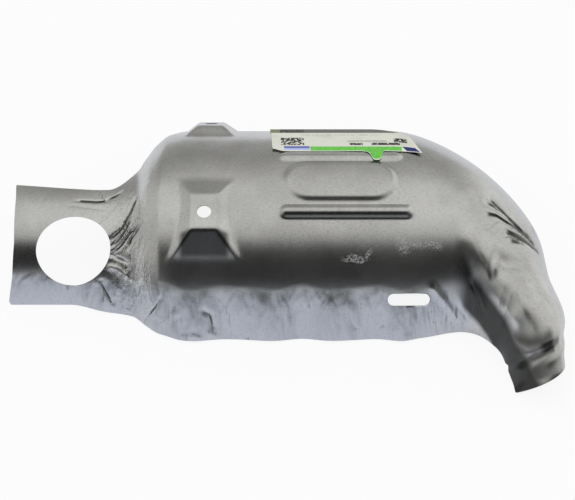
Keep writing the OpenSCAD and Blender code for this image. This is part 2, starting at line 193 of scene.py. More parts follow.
def gapTo(t, turn, points):
    best = np.full(np.broadcast(t, turn).shape, 1e9)
    for a, b in zip(points, points[1:]):
        a, b = np.array(a) * (1, turnScale), np.array(b) * (1, turnScale)
        ab, pt, pu = b - a, t - a[0], turnScale * turn - a[1]
        q = np.clip((pt * ab[0] + pu * ab[1]) / (ab @ ab), 0, 1)
        best = np.minimum(best, np.hypot(pt - q * ab[0], pu - q * ab[1]))
    return best


def sharp(q):
    return np.clip(1 - q, 0, None) ** 2


def creaseRelief(t, turn, points, width, depth, shape=sharp):
    ends = [ease(np.hypot(t - p[0], turnScale * (turn - p[1])) / width) for p in (points[0], points[-1])]
    return depth * shape(gapTo(t, turn, points) / width) * ends[0] * ends[1]


def marked(shares):
    return [(elbowStart + share * elbowLength, turn) for share, turn in shares]


# Creases of the elbow: line, width, depth (minus is pressed in), shape
elbowMarks = [
    (marked([(0.366, 0.067), (0.423, 0.07), (0.476, 0.084), (0.536, 0.133), (0.598, 0.247)]), 3.4, -1.3, sharp),
    (marked([(0.469, -0.087), (0.522, 0), (0.572, 0.096), (0.614, 0.196), (0.655, 0.371)]), 4, -1.3, sharp),
    (marked([(0.266, -0.182), (0.287, -0.325), (0.312, -0.382), (0.339, -0.425), (0.374, -0.451),
             (0.426, -0.505), (0.553, -0.482), (0.706, -0.405)]), 14, 1.5, bell),
    (marked([(0.462, -0.41), (0.505, -0.35), (0.587, -0.219), (0.677, -0.067), (0.723, -0.004), (0.8, -0.03)]),
     9, -1.1, bell)]
domeTop = marked([(0.735, -0.3)])[0]


def elbowRelief(t, turn):
    press = elbow["crease"] * bell(np.hypot(t - domeTop[0], turnScale * (turn - domeTop[1])) / 20)
    for mark in elbowMarks:
        press = press + creaseRelief(t, turn, *mark)
    press = press - elbow["groove"] * bell((t - collarEnd + 16.5 + 13 * turn * turn) / 6)
    return np.where(t > elbowStart + 0.2 * elbowLength, press + 0.8 * ease((t - collarEnd + 9) / 9), 0)


# Half the length round each section, crown to foot, so that the draw marks are true in width
def halfRound(t):
    cut = sectionAt(t)
    half = np.hypot(cut[:, 2] - cut[:, 0], cut[:, 3] - cut[:, 1]) / 2
    high = cut[:, 5] / np.cos(np.radians(cut[:, 4]))
    foot = np.minimum(np.pi / 2, 2 * np.arctan2(high, half))[:, None]
    a = np.linspace(0, 1, 40) * foot
    run = np.diff(half[:, None] * np.sin(a) / np.sin(foot), axis=1)
    fall = np.diff(high[:, None] * (np.cos(a) - np.cos(foot)) / (1 - np.cos(foot)), axis=1)
    return np.hypot(run, fall).sum(axis=1)


# The draw marks of the press: points in distance and turn, width, depth in millimetres
neckMarks = {
    "rim crease": ([(-62.6, -0.417), (-53.7, -0.317), (-49.6, -0.209), (-47.3, -0.134), (-45.6, -0.06)], 3.4, -1.0),
    "second crease": ([(-60.3, -0.462), (-55.4, -0.41), (-51.7, -0.349), (-48.2, -0.248)], 2.4, -0.6),
    "third crease": ([(-59.7, -0.523), (-53.4, -0.451), (-47.6, -0.358), (-41.9, -0.317)], 2.8, -0.8),
    "fork": ([(-49.6, -0.495), (-46.9, -0.406), (-41.0, -0.329)], 2.4, -0.6),
    "dark pleat": ([(-59.4, -0.532), (-54.4, -0.561), (-48.8, -0.596)], 3.2, -0.9),
    "light pleat": ([(-60.9, -0.628), (-56.3, -0.642), (-51.5, -0.678), (-47.1, -0.718)], 3.6, 1.0),
    "low crease": ([(-66.5, -0.747), (-64.3, -0.821), (-59.6, -0.921)], 2.6, -0.7),
    "low crease 2": ([(-70.7, -0.788), (-67.9, -0.845), (-65.6, -0.9)], 2.4, -0.4),
    "shoulder nick": ([(-28.1, -0.791), (-30.9, -0.848), (-37.1, -0.949)], 3.0, -0.8),
    "top line": ([(-85.2, -0.034), (-71.7, -0.046), (-63.9, -0.034)], 2.6, -0.5),
    "top line 2": ([(-89.1, -0.087), (-77.6, -0.108), (-67.6, -0.127)], 2.6, -0.3),
    "corner line": ([(-56.0, 0.059), (-59.3, 0.019), (-66.0, -0.026)], 2.4, -0.5),
    "shoulder fold": ([(-50.8, -0.12), (-53.0, -0.208), (-53.2, -0.295)], 4.0, -0.5)}
bendMarks = {
    "short": ([(185.0, -0.004), (190.8, 0.024), (197.3, 0.041)], 3.2, -0.8),
    "curved": ([(185.9, -0.104), (194.7, -0.036), (202.9, 0.004), (211.6, 0.073), (220.6, 0.156), (231.1, 0.285)],
               3.4, -0.8),
    "dimple": ([(210.2, -0.104), (215.7, -0.041), (220.9, 0.033)], 3.6, -0.9),
    "inner": ([(202.0, 0.153), (205.9, 0.144), (212.1, 0.179), (218.3, 0.19)], 2.8, -0.5),
    "rim nick": ([(220.4, 0.462), (225.2, 0.402)], 2.6, -0.9),
    "front soft": ([(169.5, -0.15), (171.8, -0.202), (177.1, -0.23), (179.3, -0.253)], 3.4, -0.3),
    "faint": ([(186.3, -0.236), (196.8, -0.216), (202.9, -0.21)], 2.6, -0.3),
    "front line": ([(171.1, -0.273), (175.0, -0.328), (179.4, -0.371), (185.5, -0.431), (192.7, -0.459)], 3.0, -0.12),
    "broad rise": ([(211.0, -0.34), (215.8, -0.308), (231.4, -0.133), (244.2, -0.016)], 4.5, 0.45),
    "dome side": ([(235.7, -0.313), (248.8, -0.242), (255.4, -0.15), (259.6, -0.076)], 6.0, -0.25)}
skirtMarks = {
    "end streak": ([(180.9, -0.651), (192.8, -0.757), (212.4, -0.943)], 6, -0.5),
    "light fold": ([(147.2, -0.72), (159.0, -0.817), (172.4, -0.943)], 6, 0.8),
    "end fold": ([(168.5, -0.825), (181.6, -0.9), (201.4, -0.957)], 4.5, -0.6),
    "left dent": ([(-16.0, -0.88), (-15.0, -0.92), (-13.2, -0.96)], 3.2, -0.8),
    "arc dent": ([(0.6, -0.837), (3.9, -0.866), (5.3, -0.926)], 3.2, -1.0),
    "edge bump": ([(-6.2, -0.975), (-3.6, -0.985)], 3.5, 0.9),
    "edge bump 2": ([(3.2, -0.966), (6.0, -0.98)], 3.5, 0.9)}
drawMarks = [mark for group in (neckMarks, bendMarks, skirtMarks) for mark in group.values()]


def metric(points):
    return [(t, turn * float(halfRound(np.array([float(t)]))[0])) for t, turn in points]


def gapOnSheet(t, arc, points):
    best = np.full(np.broadcast(t, arc).shape, 1e9)
    for a, b in zip(points, points[1:]):
        a, ab = np.array(a), np.array(b) - np.array(a)
        q = np.clip(((t - a[0]) * ab[0] + (arc - a[1]) * ab[1]) / (ab @ ab), 0, 1)
        best = np.minimum(best, np.hypot(t - a[0] - q * ab[0], arc - a[1] - q * ab[1]))
    return best


# A bolt pad's seat
bodyAxis = np.array([0, 0, body["height"] - body["radius"]])


def seat(mid):
    lean = math.radians(mid - math.copysign(boltPads["lean"], mid))
    up = np.array([0, math.sin(lean), math.cos(lean)])
    run = np.array([0, math.cos(lean), -math.sin(lean)])
    high = body["radius"] * math.cos(math.radians(boltPads["lean"])) + boltPads["rise"]
    off = math.copysign(body["radius"] * math.sin(math.radians(boltPads["lean"])), mid)
    return up, run, high, off


def padLift(t, degrees, mid):
    up, run, high, off = seat(mid)
    a = np.radians(degrees - mid + math.copysign(boltPads["lean"], mid))
    rise, b = body["radius"] * np.cos(a), body["radius"] * np.sin(a) - off
    endFall = np.where((b > 0) & (mid < 0), boltPads["crownFall"], boltPads["endFall"])
    b = np.abs(b)
    fall = softMax(boltPads["sideFall"] * (np.abs(t) - boltPads["flatX"] / 2),
                   endFall * (b - boltPads["flatRound"] / 2), boltPads["bend"])
    top = high - softMax(fall, 0 * fall, boltPads["bend"])
    near = (rise > 0) & (b < 2 * boltPads["flatRound"]) & (np.abs(t) < 2 * boltPads["flatX"])
    return np.where(near, softMax(0 * top, top - rise, boltPads["bend"]), 0)[..., None] * up


upAxis, runAxis, seatHigh, seatOff = seat(boltPads["angles"][0])
origin = bodyAxis + seatHigh * upAxis + seatOff * runAxis


def sheetPoint(t, turn, relief=True):
    s = sectionAt(t)
    frontX, frontY, backX, backY, dive, high, back = [s[:, k][:, None] for k in range(7)]
    dive = np.radians(dive)
    half = np.hypot(backX - frontX, backY - frontY) / 2
    sideX, sideY = (backX - frontX) / half / 2, (backY - frontY) / half / 2
    high = high / np.cos(dive)
    foot = np.minimum(np.pi / 2, 2 * np.arctan2(high, half))
    turn = np.where(turn < 0, turn, turn * back)
    angle = turn * foot
    lat = half * np.sin(angle) / np.sin(foot)
    up = high * (np.cos(angle) - np.cos(foot)) / (1 - np.cos(foot))
    runLat = half * np.cos(angle) / np.sin(foot)
    runUp = -high * np.sin(angle) / (1 - np.cos(foot))
    side = np.stack([sideX, sideY, 0 * sideX], -1)
    rise = np.stack([np.sin(dive) * sideY, -np.sin(dive) * sideX, np.cos(dive)], -1)
    tt = t[:, None]
    lean = np.interp(turn, neck["leanTurns"], neck["lean"]) * ease((neckX - tt) / neck["length"]) ** 2
    middle = np.stack([(frontX + backX) / 2 + lean, (frontY + backY) / 2 + 0 * lat, 0 * lat], -1)
    base = middle + lat[..., None] * side + up[..., None] * rise
    out = runLat[..., None] * rise - runUp[..., None] * side
    out /= np.linalg.norm(out, axis=-1, keepdims=True)
    if not relief:
        return base, out, turn
    degrees = np.degrees(angle)
    arc = arcLength(degrees)
    press = (beadRelief(tt, arc, beads["lower"]) + beadRelief(tt, arc, beads["upper"]) + ovalRelief(tt, arc)
             + skirtRelief(tt, degrees, np.degrees(foot)) + elbowRelief(tt, turn))
    onSheet = turn * halfRound(t)[:, None]
    for points, width, depth in drawMarks:
        press = press + depth * sharp(gapOnSheet(tt, onSheet, metric(points)) / width)
    point = base + press[..., None] * out
    for mid in boltPads["angles"]:
        point = point + padLift(tt, degrees, mid)
    return point, out, turn


def lineField(t, arc, lines):
    gap, share = np.full(np.broadcast(t, arc).shape, 9.0), np.zeros(np.broadcast(t, arc).shape)
    for points, width in lines:
        fromEnd = np.minimum(*[np.hypot(t - p[0], arc - p[1]) for p in (points[0], points[-1])])
        for k, (a, b) in enumerate(zip(points, points[1:])):
            a, ab = np.array(a), np.array(b) - np.array(a)
            raw = ((t - a[0]) * ab[0] + (arc - a[1]) * ab[1]) / (ab @ ab)
            q = np.clip(raw, 0, 1)
            off = np.hypot(t - a[0] - q * ab[0], arc - a[1] - q * ab[1]) / width
            past = (k == 0) * np.clip(-raw, 0, None) + (k == len(points) - 2) * np.clip(raw - 1, 0, None)
            nearer = off < np.abs(gap)
            gap = np.where(nearer, np.copysign(off, (t - a[0]) * ab[1] - (arc - a[1]) * ab[0]), gap)
            share = np.where(nearer, ease(fromEnd / 5) * np.clip(1 - past * np.hypot(*ab), 0, 1), share)
    return gap, share


def linesAlong(spans, end):
    lines = []
    for (start, step), stop in zip(spans, [s[0] for s in spans[1:]] + [end]):
        n = max(1, round((stop - start) / step))
        lines += list(np.linspace(start, stop, n, endpoint=False))
    return np.array(lines + [end])


def gridPiece(name, columns, rows):
    bpy.ops.object.select_all(action="DESELECT")
    bpy.ops.mesh.primitive_grid_add(x_subdivisions=len(columns) - 1, y_subdivisions=len(rows) - 1, size=2)
    piece = bpy.context.active_object
    piece.name = piece.data.name = name
    flat = np.zeros(len(piece.data.vertices) * 3)
    piece.data.vertices.foreach_get("co", flat)
    flat = flat.reshape(-1, 3)
    i = np.rint((flat[:, 0] + 1) / 2 * (len(columns) - 1)).astype(int)
    j = np.rint((flat[:, 1] + 1) / 2 * (len(rows) - 1)).astype(int)
    return piece, i, j


def setPoints(piece, points):
    piece.data.vertices.foreach_set("co", (points * 0.001).ravel())
    piece.data.update()


def setMap(piece, values):
    corners = np.zeros(len(piece.data.loops), dtype=np.int32)
    piece.data.loops.foreach_get("vertex_index", corners)
    piece.data.uv_layers.active.data.foreach_set("uv", values[corners].ravel())


def setValue(piece, name, values):
    mark = piece.data.attributes.new(name, "FLOAT", "POINT")
    mark.data.foreach_set("value", np.ascontiguousarray(values, dtype=np.float32))


def applyModifier(piece, kind, **settings):
    bpy.ops.object.select_all(action="DESELECT")
    piece.select_set(True)
    bpy.context.view_layer.objects.active = piece
    modifier = piece.modifiers.new(kind.title(), kind)
    for key, value in settings.items():
        setattr(modifier, key, value)
    bpy.ops.object.modifier_apply(modifier=modifier.name)


# The shield: a flat blank is pressed to shape, gets its thickness and is then punched
ts = linesAlong([(along[0], 2.6), (-90, 1.8), (-68, 1.25), (-26, 1.6), (26, 1.9), (44, 1.1), (58, 1.8), (114, 1.1),
                 (136, 1.5), (180, 1.32)], collarEnd)
angles = linesAlong([(-bodyArc, 0.62), (16, 1.1), (30, 1.1), (50, 1.8)], bodyArc)
turns = angles / bodyArc
shield, column, row = gridPiece("shield-steel", ts, turns)
point, out, usedTurn = sheetPoint(ts, turns[None, :])
setPoints(shield, (point - origin)[column, row])
usedTurn = np.broadcast_to(usedTurn, point.shape[:2])
sheetMap = np.stack([np.broadcast_to(ts[:, None], usedTurn.shape), usedTurn * halfRound(ts)[:, None]], -1)
setMap(shield, sheetMap[column, row] * 0.001)
tt = ts[:, None]
# lowSide: the sheet's low side, given a painted bluish reflection, extra roughness, smudges and fine wrinkles
lowSide = ease((-usedTurn - 0.71 + 0.012 * np.cos(2 * np.pi * (tt - skirt["waveStart"]) / skirt["waveLength"])) / 0.09)
lowSide = lowSide * ease((200 - tt) / 30)
crushed = bell((tt + 47) / 22) * ease((-usedTurn + 0.25) / 0.5) + 0.6 * bell((tt - 218) / 26) * ease(
    (usedTurn - 0.02) / 0.2)
# Fine crease lines, used for a bump and for painted shade along the creases
fineLines = [(metric(group[name][0]), width) for group, name, width in (
    (neckMarks, "rim crease", 1.5), (neckMarks, "second crease", 1.1), (neckMarks, "third crease", 1.4),
    (neckMarks, "fork", 1.1), (neckMarks, "dark pleat", 1.4), (neckMarks, "low crease", 1.1),
    (neckMarks, "shoulder nick", 1.3), (neckMarks, "top line", 1.1), (neckMarks, "corner line", 1.1),
    (bendMarks, "short", 1.5), (bendMarks, "curved", 1.4), (bendMarks, "dimple", 1.8),
    (skirtMarks, "arc dent", 1.2))] + [(metric(mark[0]), width) for mark, width in
                                            zip(elbowMarks[:2], (1.9, 2.3))]
lineGap, lineShare = lineField(tt, sheetMap[..., 1], fineLines)
setValue(shield, "lineGap", lineGap[column, row])
setValue(shield, "lineShare", lineShare[column, row])
# Painted shade and painted dark reflection: the steel is painted dark in the hollow of the bend, on the dome's lower
# rim, the groove and the collar, and on the lower flanks of the front pad and the lower bead
darkRims = {"dome": [(255, -0.66), (259.1, -0.622), (266.3, -0.491), (270.8, -0.305), (271.1, -0.18)],
            "groove": [(266.9, -0.957), (273, -0.751), (276.6, -0.516), (279.3, -0.162)]}
darkFlanks = {"pad": {"reach": 17, "angle": -31.8, "half": 5.5, "share": 0.9},
              "bead": {"from": 45, "to": 134, "angle": -20.8, "half": 1.7, "share": 0.8}}
hollow = {"t": (152, 161.6, 169.6, 174.4, 181.9, 197.1, 211.9, 226, 246.9, 257.8, 268, 296),
          "top": (-0.462, -0.465, -0.476, -0.519, -0.565, -0.611, -0.614, -0.614, -0.575, -0.585, -0.55, -0.5),
          "lowT": (152, 162.4, 168.6, 174.8, 183.9, 194.7, 210.4, 223, 240),
          "low": (-0.72, -0.75, -0.77, -0.84, -0.88, -0.91, -0.96, -1.0, -1.2)}
topLine, lowLine = np.interp(tt, hollow["t"], hollow["top"]), np.interp(tt, hollow["lowT"], hollow["low"])
fade = np.interp(tt, [230, 262], [0.09, 0.22])
dark = ease((topLine + 0.3 * fade - usedTurn) / fade) * ease((usedTurn - lowLine + 0.02) / 0.06) * ease((tt - 158) / 20)
pad, bead = darkFlanks["pad"], darkFlanks["bead"]
padFoot = pad["share"] * ease((pad["reach"] - np.abs(tt)) / 4) * ease(
    (pad["half"] - np.abs(usedTurn * bodyArc - pad["angle"])) / 2.5)
beadFoot = bead["share"] * ease((tt - bead["from"]) / 5) * ease((bead["to"] - tt) / 5) * bell(
    (usedTurn * bodyArc - bead["angle"]) / bead["half"])
dark = np.maximum(dark, np.maximum(padFoot, beadFoot))
sheetArc = sheetMap[..., 1]
dark = np.maximum(dark, 0.85 * bell(gapOnSheet(tt, sheetArc, metric(darkRims["dome"])) / 6.5))
dark = np.maximum(dark, 0.9 * bell(gapOnSheet(tt, sheetArc, metric(darkRims["groove"])) / 3.2))
dark = np.maximum(dark, 0.9 * ease((0.1 - usedTurn) / 0.75) * ease((tt - 278) / 4) * (1 - 0.85 * ease((tt - 290) / 4)))
setValue(shield, "paintedShade", dark[column, row])
# Scuffs: a bright squiggle and a rubbed patch on the front
scuffs = {"squiggle": ([(83.3, -0.554), (86.5, -0.566), (89.6, -0.56), (96.7, -0.574), (99.4, -0.556),
                        (102.2, -0.525), (104.5, -0.505)], 1.9),
          "inner squiggle": ([(87, -0.552), (91.5, -0.535), (95.5, -0.552), (100.4, -0.562)], 1.2),
          "patch": ([(123.5, -0.43), (125.5, -0.5)], 6.5),
          "streak": ([(127, -0.485), (150, -0.47)], 4)}
scuffGap, scuffShare = lineField(tt, sheetArc, [(metric(points), width) for points, width in (
    scuffs["squiggle"], scuffs["inner squiggle"])])
setValue(shield, "scuffGap", scuffGap[column, row])
setValue(shield, "scuffShare", scuffShare[column, row])
patch, streak = [bell(gapOnSheet(tt, sheetArc, metric(scuffs[name][0])) / scuffs[name][1])
                 for name in ("patch", "streak")]
rubbed = np.maximum(patch, 0.8 * streak)
setValue(shield, "rubbed", rubbed[column, row])
setValue(shield, "lowSide", lowSide[column, row])
setValue(shield, "crushed", crushed[column, row])
print("blank pressed:", len(ts), "x", len(turns))
applyModifier(shield, "SOLIDIFY", thickness=blank["thickness"] * 0.001, offset=-1, use_even_offset=True)


def punch(piece, centre, angle, diameter, length=24, slotLength=None, squeeze=1):
    bpy.ops.object.select_all(action="DESELECT")
    bpy.ops.mesh.primitive_cylinder_add(vertices=96, radius=diameter / 2000, depth=length / 1000)
    tool = bpy.context.active_object
    if slotLength:
        half = (slotLength - diameter) / 2000
        for v in tool.data.vertices:
            v.co.x += half if v.co.x > 1e-6 else -half if v.co.x < -1e-6 else 0
    for v in tool.data.vertices:
        v.co.y *= squeeze
    tool.rotation_euler = (math.radians(-angle), 0, 0)
    tool.location = [(c - o) * 0.001 for c, o in zip(centre, origin)]
    bpy.ops.object.transform_apply(location=True, rotation=True, scale=False)
    applyModifier(piece, "BOOLEAN", operation="DIFFERENCE", object=tool, solver="EXACT")
    bpy.data.objects.remove(tool)


def onRound(radius, height, x, y, angle):
    return (x, y + radius * math.sin(math.radians(angle)), height - radius + radius * math.cos(math.radians(angle)))


for mid in boltPads["angles"]:
    up, run, high, off = seat(mid)
    punch(shield, bodyAxis + high * up + off * run, mid - math.copysign(boltPads["lean"], mid), boltPads["hole"], 10)
punch(shield, onRound(neck["radius"], neck["height"], port["x"], -neck["shift"], port["angle"]), port["angle"],
      port["width"], 28, squeeze=port["height"] / port["width"])
punch(shield, onRound(body["radius"], body["height"], slot["x"], 0, slot["angle"]), slot["angle"], slot["width"], 12,
      slot["length"])
applyModifier(shield, "BEVEL", width=blank["bevel"] * 0.001, segments=1, limit_method="ANGLE",
              angle_limit=math.radians(60))
bpy.ops.object.shade_smooth_by_angle(angle=math.radians(35))
print("shield:", sum(len(p.vertices) - 2 for p in shield.data.polygons), "triangles")

# The label: paper that follows the steel, with a leaning right edge, a cut corner, a tab and lifted corners
label = {"length": 99, "width": 56, "angle": 10.5, "x": 41.5, "gap": 0.3, "thickness": 0.25, "lean": 6.5,
         "tabDrop": 5.9, "topLift": 0.7, "cornerLift": 1.5}
tabOutline = {"at": (101.5, 104.2, 106.2, 107.8, 109.2, 112, 113.6, 114.8, 115.6),
              "share": (0, 0.2, 0.6, 0.94, 1, 1, 0.85, 0.35, 0)}
labelTop = label["angle"] + math.degrees(label["width"] / body["radius"])
labelShares = linesAlong([(0, 0.012), (0.6, 0.005), (0.76, 0.012)], 1)
labelAngles = linesAlong([(label["angle"], 0.3), (label["angle"] + 3, 0.55)], labelTop)
paper, column, row = gridPiece("label-paper", labelShares, labelAngles)
back = body["radius"] * np.sin(np.radians(labelAngles))
lowBack, bendBack = [body["radius"] * math.sin(math.radians(label["angle"] + more)) for more in (0, 16)]
rightEdge = label["x"] + label["length"] - label["lean"] * np.clip((back - lowBack) / (bendBack - lowBack), 0, 1)
rightEdge -= np.clip(back - bendBack, 0, None) / 0.87
leftEdge = label["x"] + 0.9 - 1.7 * (labelAngles - label["angle"]) / 30
paperT = leftEdge + labelShares[:, None] * (rightEdge - leftEdge)[None, :]
hang = label["tabDrop"] * np.interp(paperT, tabOutline["at"], tabOutline["share"])
hang = hang - 1.2 * (1 - ease((paperT - label["x"]) / 8))
paperAngles = labelAngles[None, :] - hang * np.clip(1 - (labelAngles - label["angle"]) / 3, 0, 1)[None, :]
edgeAngle = label["angle"] - hang
lift = label["topLift"] * ease((labelAngles - 27) / 14)[None, :]
for cornerX, reach in ((label["x"], 15), (label["x"] + label["length"], 17)):
    away = np.hypot(paperT - cornerX, arcLength(paperAngles - label["angle"])) / reach
    lift = lift + label["cornerLift"] * sharp(away)
lift = lift + 0.25 * ease((label["angle"] - paperAngles) / label["tabDrop"]) + 0.25 * bell((paperT - 106) / 30) * ease(
    (label["angle"] + 1.5 - paperAngles) / 1.5)
spot, out, usedTurn = sheetPoint(paperT.ravel(), paperAngles.reshape(-1, 1) / bodyArc)
paperPoints = (spot + out * (label["gap"] + label["thickness"] + lift).reshape(-1, 1, 1)).reshape(*paperT.shape, 3)
setPoints(paper, (paperPoints - origin)[column, row])
labelMap = np.stack([paperT - label["x"], arcLength(paperAngles) - arcLength(label["angle"])], -1)
setMap(paper, labelMap[column, row] * 0.001)
setValue(paper, "lowEdge", arcLength(paperAngles - edgeAngle)[column, row])
applyModifier(paper, "SOLIDIFY", thickness=label["thickness"] * 0.001, offset=-1)
bpy.ops.object.shade_smooth_by_angle(angle=math.radians(40))
print("label made")


def material(name):
    global nodes, links
    made = bpy.data.materials.new(name)
    made.use_nodes = True
    nodes, links = made.node_tree.nodes, made.node_tree.links
    return made, nodes["Principled BSDF"]


def feed(socket, value):
    if isinstance(value, bpy.types.NodeSocket):
        links.new(value, socket)
    else:
        socket.default_value = value


def calc(operation, *values, clamp=False):
    node = nodes.new("ShaderNodeMath")
    node.operation, node.use_clamp = operation, clamp
    for socket, value in zip(node.inputs, values):
        feed(socket, value)
    return node.outputs[0]


def vector(operation, *values, scale=None):
    node = nodes.new("ShaderNodeVectorMath")
    node.operation = operation
    for socket, value in zip(node.inputs, values):
        feed(socket, value)
    if scale is not None:
        feed(node.inputs["Scale"], scale)
    return node.outputs["Value" if operation in ("DOT_PRODUCT", "DISTANCE", "LENGTH") else "Vector"]


def noise(place, scale, detail=2, roughness=0.5, stretch=None, distortion=0):
    node = nodes.new("ShaderNodeTexNoise")
    feed(node.inputs["Vector"], vector("MULTIPLY", place, stretch) if stretch else place)
    for key, value in (("Scale", scale), ("Detail", detail), ("Roughness", roughness), ("Distortion", distortion)):
        node.inputs[key].default_value = value
    return node.outputs["Fac"]


def steps(value, low, high, start=0, end=1):
    node = nodes.new("ShaderNodeMapRange")
    node.interpolation_type = "SMOOTHSTEP"
    for socket, given in zip(node.inputs, (value, low, high, start, end)):
        feed(socket, given)
    return node.outputs[0]


def blend(share, first, second, kind="MIX"):
    node = nodes.new("ShaderNodeMix")
    node.data_type, node.blend_type = "RGBA", kind
    for key, value in (("Factor_Float", share), ("A_Color", first), ("B_Color", second)):
        feed(next(s for s in node.inputs if s.identifier == key), value)
    return next(s for s in node.outputs if s.identifier == "Result_Color")


def attribute(name):
    node = nodes.new("ShaderNodeAttribute")
    node.attribute_name = name
    return node.outputs["Fac"]


def bump(height, distance, normal=None, strength=1):
    node = nodes.new("ShaderNodeBump")
    node.inputs["Strength"].default_value = strength
    node.inputs["Distance"].default_value = distance
    feed(node.inputs["Height"], height)
    if normal:
        feed(node.inputs["Normal"], normal)
    return node.outputs["Normal"]


def onMap():
    node = nodes.new("ShaderNodeUVMap")
    node.uv_map = "UVMap"
    return vector("MULTIPLY", node.outputs[0], (1000, 1000, 0))  # millimetres on the sheet


# Pressed steel: satin, finely pitted, with rolling grain, draw wrinkles, scuffs, painted shade and a painted bluish
# reflection low down
steelLook = {"light": (0.72, 0.715, 0.685, 1), "dark": (0.58, 0.576, 0.55, 1), "low": (0.6, 0.625, 0.7, 1),
             "roughness": 0.17, "pits": 0.00002, "wrinkles": 0.00028, "lowWrinkles": 0.0004, "lines": 0.0008,
             "grimeAndCreaseShade": (0.12, 0.118, 0.11, 1), "speck": (0.28, 0.28, 0.27, 1), "scuff": (0.9, 0.9, 0.88, 1),
             "paintedShadeTone": (0.045, 0.045, 0.043, 1)}
steel, shader = material("pressed steel")
coordinate = nodes.new("ShaderNodeTexCoord")
place, sheet = coordinate.outputs["Object"], onMap()
low, crush = attribute("lowSide"), attribute("crushed")
mottle = noise(place, 38, 5, 0.62)
cloud = noise(place, 11, 3, 0.5)
grain = noise(sheet, 1, 4, 0.7, stretch=(0.35, 1.6, 0))
pits = noise(place, 1500, 2, 0.6)
blotch = calc("MULTIPLY", calc("ADD", mottle, calc("ADD", cloud, grain)), 0.3333)
tone = blend(steps(blotch, 0.42, 0.6), steelLook["dark"], steelLook["light"])
# Painted reflection: a bluish tint over the low side
tone = blend(calc("MULTIPLY", low, 0.6), tone, steelLook["low"])
tone = blend(calc("MULTIPLY", steps(pits, 0.6, 0.75), 0.25), tone, steelLook["grimeAndCreaseShade"])
smudge = calc("MULTIPLY", steps(noise(sheet, 0.16, 3, 0.6, stretch=(1, 0.55, 0)), 0.62, 0.72), low)
tone = blend(calc("MULTIPLY", smudge, 0.45), tone, steelLook["grimeAndCreaseShade"])
# Painted shade: the steel is darkened along the fine crease lines
lines = calc("SUBTRACT", 1, calc("ABSOLUTE", attribute("lineGap")), clamp=True)
lines = calc("MULTIPLY", calc("POWER", lines, 1.5), attribute("lineShare"))
tone = blend(calc("MULTIPLY", lines, 0.88), tone, steelLook["grimeAndCreaseShade"])
speckle = noise(place, 620, 3, 0.7)
tone = blend(calc("MULTIPLY", steps(speckle, 0.5, 0.68), 0.22), tone, steelLook["speck"])
# Painted shade: the steel is painted nearly black in the hollow of the bend, the rims, the collar and the lower flanks
tone = blend(calc("MULTIPLY", attribute("paintedShade"), 0.94), tone, steelLook["paintedShadeTone"])
squiggleShare = calc("SUBTRACT", 1, calc("ABSOLUTE", attribute("scuffGap")), clamp=True)
squiggleShare = calc("MULTIPLY", steps(squiggleShare, 0.05, 0.45), attribute("scuffShare"))
scratch = steps(noise(sheet, 1, 3, 0.75, stretch=(0.7, 1.1, 0), distortion=1), 0.46, 0.6)
scuff = calc("MULTIPLY", calc("MAXIMUM", squiggleShare, attribute("rubbed")), scratch)
tone = blend(calc("MULTIPLY", scuff, 0.8), tone, steelLook["scuff"])
links.new(tone, shader.inputs["Base Color"])
shader.inputs["Metallic"].default_value = 1
rough = calc("ADD", steelLook["roughness"], calc("MULTIPLY", blotch, 0.12))
rough = calc("ADD", rough, calc("ADD", calc("MULTIPLY", low, 0.1), calc("MULTIPLY", scuff, 0.45)))
links.new(rough, shader.inputs["Roughness"])
wrinkle = noise(sheet, 0.32, 3, 0.55, stretch=(1, 0.45, 0), distortion=0.6)
lowWrinkle = noise(sheet, 0.11, 2, 0.5, stretch=(1, 0.35, 0), distortion=0.3)
normal = bump(pits, steelLook["pits"])
normal = bump(calc("MULTIPLY", calc("SUBTRACT", wrinkle, 0.5), crush), steelLook["wrinkles"] * 4, normal)
normal = bump(calc("MULTIPLY", calc("SUBTRACT", lowWrinkle, 0.5), low), steelLook["lowWrinkles"] * 4, normal)
normal = bump(calc("MULTIPLY", lines, -1), steelLook["lines"], normal)
links.new(normal, shader.inputs["Normal"])
shield.data.materials.clear()
shield.data.materials.append(steel)
print("steel ready")

# Label paper: off-white, with plain printed fields and bars, in millimetres from its lower left corner
inks = {"paper": (0.7, 0.71, 0.63, 1), "stain": (0.6, 0.6, 0.5, 1), "green": (0.16, 0.6, 0.08, 1),
        "greenDark": (0.07, 0.33, 0.04, 1), "violet": (0.12, 0.13, 0.42, 1), "paleBlue": (0.42, 0.5, 0.8, 1),
        "navy": (0.02, 0.03, 0.16, 1), "grey": (0.42, 0.42, 0.38, 1), "dark": (0.04, 0.04, 0.038, 1),
        "olive": (0.14, 0.14, 0.12, 1), "oliveGreen": (0.2, 0.22, 0.1, 1), "border": (0.78, 0.8, 0.74, 1)}
paperInk, shader = material("label paper")
sheet = onMap()
split = nodes.new("ShaderNodeSeparateXYZ")
feed(split.inputs[0], sheet)
across, above = split.outputs["X"], split.outputs["Y"]


def field(left, right, low, high, side=None):
    side = across if side is None else side
    inX = calc("COMPARE", side, (left + right) / 2, (right - left) / 2)
    return calc("MULTIPLY", inX, calc("COMPARE", above, (low + high) / 2, (high - low) / 2))


def dashes(share, low, high, seed):
    place = vector("ADD", vector("MULTIPLY", sheet, (1, 0.45, 0)), (seed, 0, 0))
    return calc("MULTIPLY", steps(noise(place, 0.75, 1, 0.4), low, high), share)


